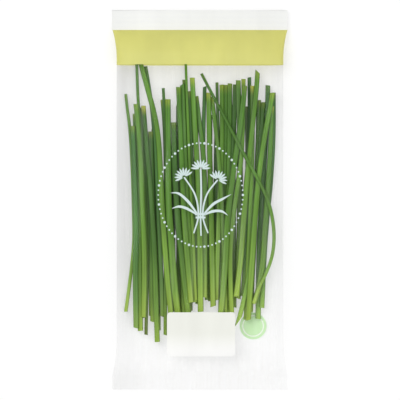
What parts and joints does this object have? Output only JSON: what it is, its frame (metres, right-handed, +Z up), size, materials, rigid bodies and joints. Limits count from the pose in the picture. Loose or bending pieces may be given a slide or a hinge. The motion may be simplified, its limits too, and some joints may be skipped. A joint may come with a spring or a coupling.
{
  "type": "chive bunch in a clear pouch",
  "caption": "Bunch of fresh cut chives, long thin hollow leaves heaped side by side, sealed in a clear pillow pouch with flat welded ends that lies on its back.",
  "frame": {"origin": "under the middle of the pouch, on the surface that it lies on", "axes": "+X across the pouch, +Y along the leaves from their cut feet to their tops, +Z up, out of its front"},
  "size_m": [0.1292, 0.28, 0.0176],
  "materials": {
    "leaf_mid_green": "satin",
    "leaf_dark_green": "satin",
    "leaf_blue_green": "satin",
    "leaf_light_green": "satin",
    "clear_film": "clear, glossy"
  },
  "bodies": {
    "root": {"leaf_01": "leaf_dark_green", "leaf_02": "leaf_dark_green", "leaf_03": "leaf_dark_green", "leaf_04": "leaf_dark_green", "leaf_05": "leaf_dark_green", "leaf_06": "leaf_dark_green", "leaf_07": "leaf_dark_green", "leaf_08": "leaf_dark_green", "leaf_09": "leaf_dark_green", "leaf_10": "leaf_dark_green", "leaf_11": "leaf_dark_green", "leaf_12": "leaf_dark_green", "leaf_13": "leaf_dark_green", "leaf_14": "leaf_dark_green", "leaf_15": "leaf_light_green", "leaf_16": "leaf_dark_green", "leaf_17": "leaf_mid_green", "leaf_18": "leaf_dark_green", "leaf_19": "leaf_mid_green", "leaf_20": "leaf_dark_green", "leaf_21": "leaf_dark_green", "leaf_22": "leaf_dark_green", "leaf_23": "leaf_blue_green", "leaf_24": "leaf_mid_green", "leaf_25": "leaf_mid_green", "leaf_26": "leaf_dark_green", "leaf_27": "leaf_mid_green", "leaf_28": "leaf_mid_green", "leaf_29": "leaf_mid_green", "leaf_30": "leaf_blue_green", "leaf_31": "leaf_blue_green", "leaf_32": "leaf_mid_green", "leaf_33": "leaf_mid_green", "leaf_34": "leaf_dark_green", "leaf_35": "leaf_blue_green", "leaf_36": "leaf_dark_green", "leaf_37": "leaf_mid_green", "leaf_38": "leaf_mid_green", "leaf_39": "leaf_dark_green", "leaf_40": "leaf_light_green", "leaf_41": "leaf_light_green", "leaf_42": "leaf_blue_green", "leaf_43": "leaf_light_green", "leaf_44": "leaf_dark_green", "leaf_45": "leaf_mid_green", "leaf_46": "leaf_light_green", "leaf_47": "leaf_blue_green", "leaf_48": "leaf_light_green", "leaf_49": "leaf_light_green", "leaf_50": "leaf_mid_green", "leaf_51": "leaf_dark_green", "leaf_52": "leaf_mid_green", "leaf_53": "leaf_light_green", "leaf_54": "leaf_light_green", "leaf_55": "leaf_light_green", "leaf_56": "leaf_mid_green", "leaf_57": "leaf_light_green", "leaf_58": "leaf_light_green", "leaf_59": "leaf_mid_green", "pouch_film": "clear_film"}
  },
  "joints": []
}
